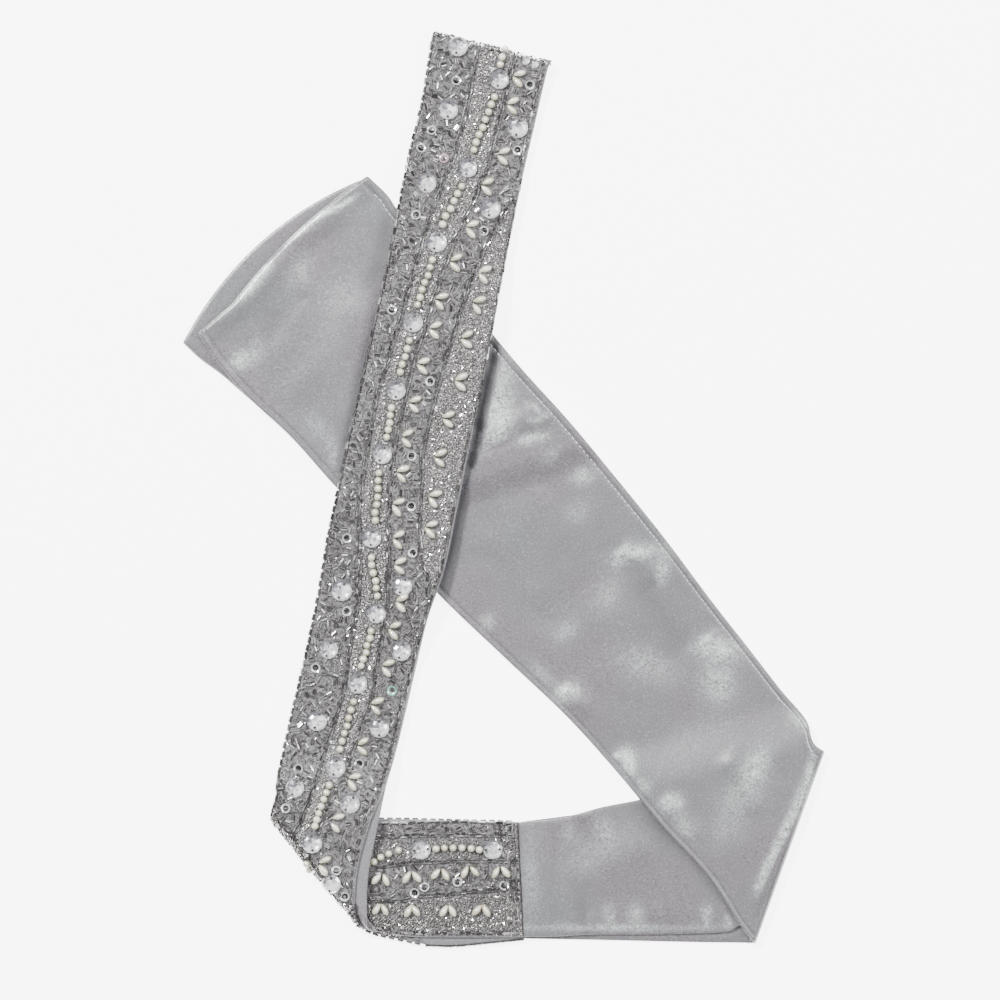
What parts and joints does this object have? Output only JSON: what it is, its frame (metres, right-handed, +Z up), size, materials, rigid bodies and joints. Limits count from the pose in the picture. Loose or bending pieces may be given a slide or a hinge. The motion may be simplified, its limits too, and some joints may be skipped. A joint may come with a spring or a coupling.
{
  "type": "beaded sash",
  "caption": "Bridal sash folded flat on a table: a narrow beaded band with raised pearls and stones, and a satin tail that crosses under it.",
  "frame": {"origin": "centre of the folded sash's outline, on the surface it lies on", "axes": "+Y towards the top fold of the beaded band, +X towards the fold of the satin tails, +Z up from the surface"},
  "size_m": [0.2758, 0.3934, 0.0146],
  "materials": {
    "satin": "pearly grey satin",
    "beading": "grey cloth covered with silver and gunmetal beads",
    "pearl": "ivory pearl",
    "stone": "faceted clear stone on silver foil",
    "seed_bead": "silver and gunmetal glass beads"
  },
  "bodies": {
    "root": {"band_front": "beading", "band_under": "beading", "band_return": "beading", "band_low": "satin", "tail_b_strip": "satin", "tail_a_strip": "satin", "tail_a_diagonal": "satin", "tail_b_diagonal": "satin", "tail_layers": "satin"}
  },
  "joints": []
}
